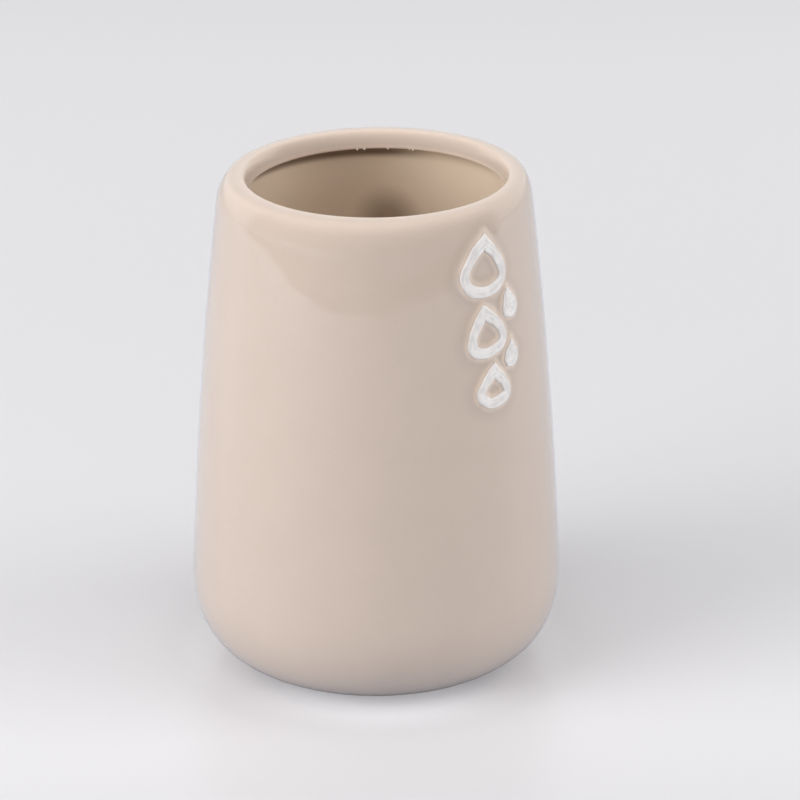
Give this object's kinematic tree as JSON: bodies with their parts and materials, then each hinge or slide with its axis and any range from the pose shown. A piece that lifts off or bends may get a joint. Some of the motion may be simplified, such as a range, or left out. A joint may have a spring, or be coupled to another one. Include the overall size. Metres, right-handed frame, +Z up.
{
  "type": "toothbrush holder",
  "caption": "Tapering slip-cast ceramic tumbler that stands toothbrushes upright, with a thick rounded rim, undercut lip, round base and a raised column of white water drops.",
  "frame": {"origin": "centre of the foot ring, on the plane that the cup rests on", "axes": "+Z up along the cup's axis, -Y towards the column of raised drops, +X to the right of somebody who faces the drops"},
  "size_m": [0.0766, 0.0766, 0.105],
  "materials": {
    "beige_glaze": "glossy beige glaze, paler where it breaks thin over the rim and the raised grounds",
    "white_enamel": "thick glossy white enamel, brushed on by hand"
  },
  "bodies": {
    "root": {"cup_body": "beige_glaze", "enamel_drop_1": "white_enamel", "enamel_drop_2": "white_enamel", "enamel_drop_3": "white_enamel", "enamel_drop_4": "white_enamel", "enamel_drop_5": "white_enamel"}
  },
  "joints": []
}
